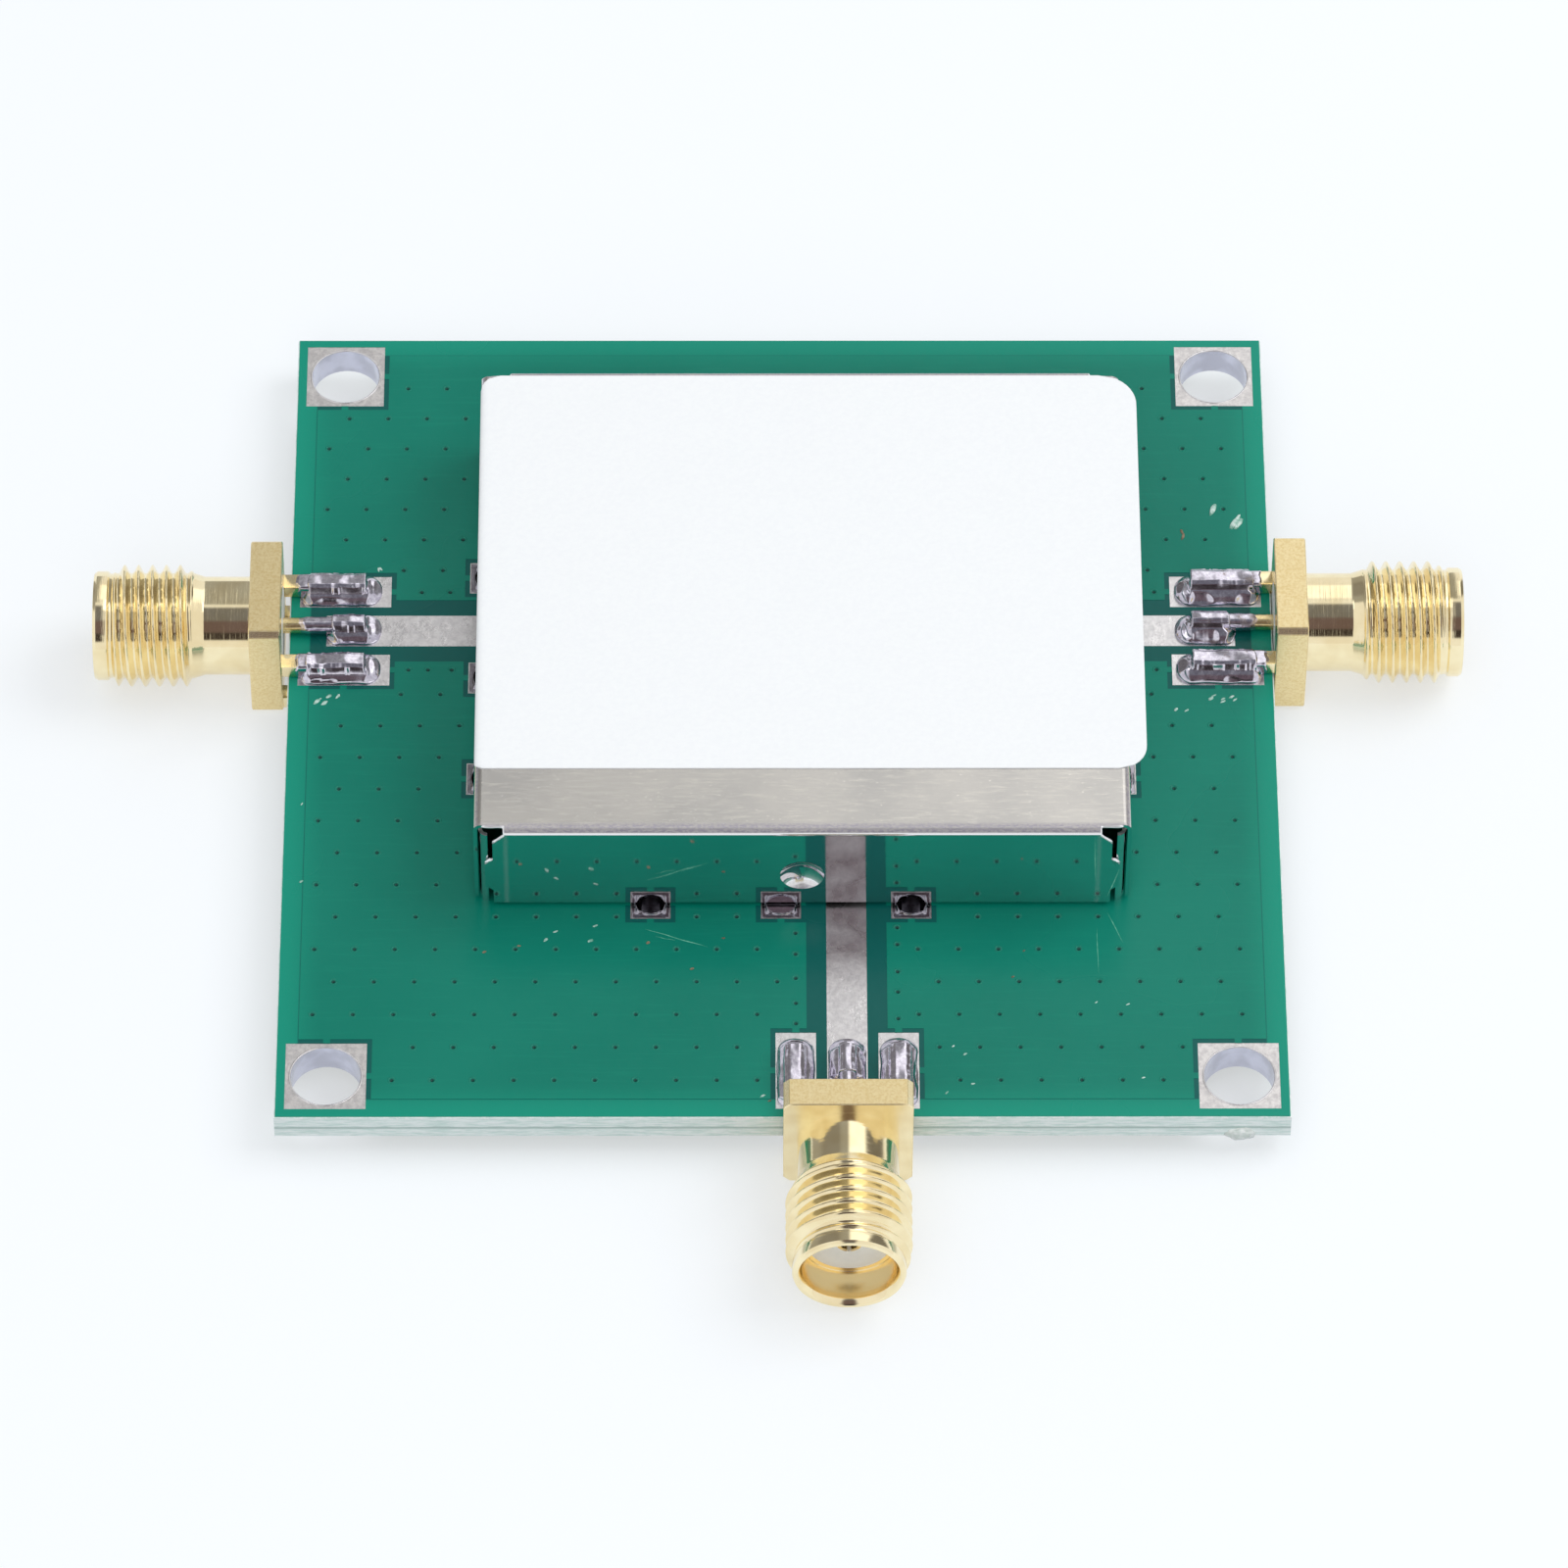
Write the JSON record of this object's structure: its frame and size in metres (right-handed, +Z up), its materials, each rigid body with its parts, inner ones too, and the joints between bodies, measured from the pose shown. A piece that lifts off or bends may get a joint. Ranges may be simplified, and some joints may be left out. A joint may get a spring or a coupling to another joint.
{
  "type": "rf mixer",
  "caption": "Frequency mixer on a square circuit board, with a clip-on shield can and edge-mounted coaxial jacks for its signal ports.",
  "frame": {"origin": "centre of the mounting holes on the board's underside", "axes": "+Z up through the board to the shield can, +X towards the right jack, the jack at the front edge points to -Y"},
  "size_m": [0.0695, 0.0599, 0.0088],
  "materials": {
    "laminate": "matte",
    "solder_mask": "gloss",
    "tinned_copper": "satin",
    "tinplate": "satin",
    "solder": "gloss",
    "paper": "matte",
    "gold_plated_brass": "satin",
    "insulator": "matte",
    "moulding": "matte"
  },
  "bodies": {
    "root": {"laminate": "laminate", "top_copper": "tinned_copper", "bottom_copper": "tinned_copper", "top_solder_mask": "solder_mask", "bottom_solder_mask": "solder_mask", "mounting_hole_plating": "tinned_copper", "leg_hole_plating": "tinned_copper", "shield_frame": "tinplate", "shield_cover": "tinplate", "shield_leg_solder": "solder", "label": "paper", "left_jack_body": "gold_plated_brass", "left_jack_insulator": "insulator", "left_jack_contact": "gold_plated_brass", "left_jack_solder": "solder", "right_jack_body": "gold_plated_brass", "right_jack_insulator": "insulator", "right_jack_contact": "gold_plated_brass", "right_jack_solder": "solder", "front_jack_body": "gold_plated_brass", "front_jack_insulator": "insulator", "front_jack_contact": "gold_plated_brass", "front_jack_solder": "solder", "mixer_chip": "moulding", "chip_leads": "tinned_copper", "chip_solder": "solder"}
  },
  "joints": []
}
